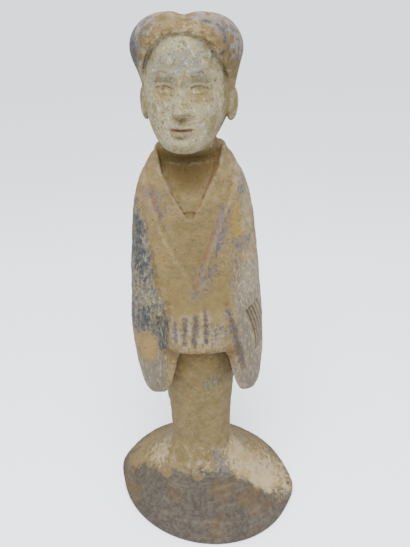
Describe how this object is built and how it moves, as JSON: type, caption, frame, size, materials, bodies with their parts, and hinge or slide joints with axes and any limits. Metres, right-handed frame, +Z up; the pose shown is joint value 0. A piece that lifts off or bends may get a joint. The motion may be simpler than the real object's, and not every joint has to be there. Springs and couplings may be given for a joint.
{
  "type": "terracotta court lady figure",
  "caption": "Standing robed lady of moulded terracotta, hands joined inside long hanging sleeves, hair in a broad roll, straight skirt flaring into a hollow trumpet hem.",
  "frame": {"origin": "middle of the hem's foot, on the ground it stands on", "axes": "+Z up through the head, -Y the way she faces, +X to her left"},
  "size_m": [0.2018, 0.1692, 0.48],
  "materials": {
    "terracotta": "dry fired clay, worn cream slip on the face, remains of grey, mauve and red pigment"
  },
  "bodies": {
    "root": {"court_lady_figure": "terracotta"}
  },
  "joints": []
}
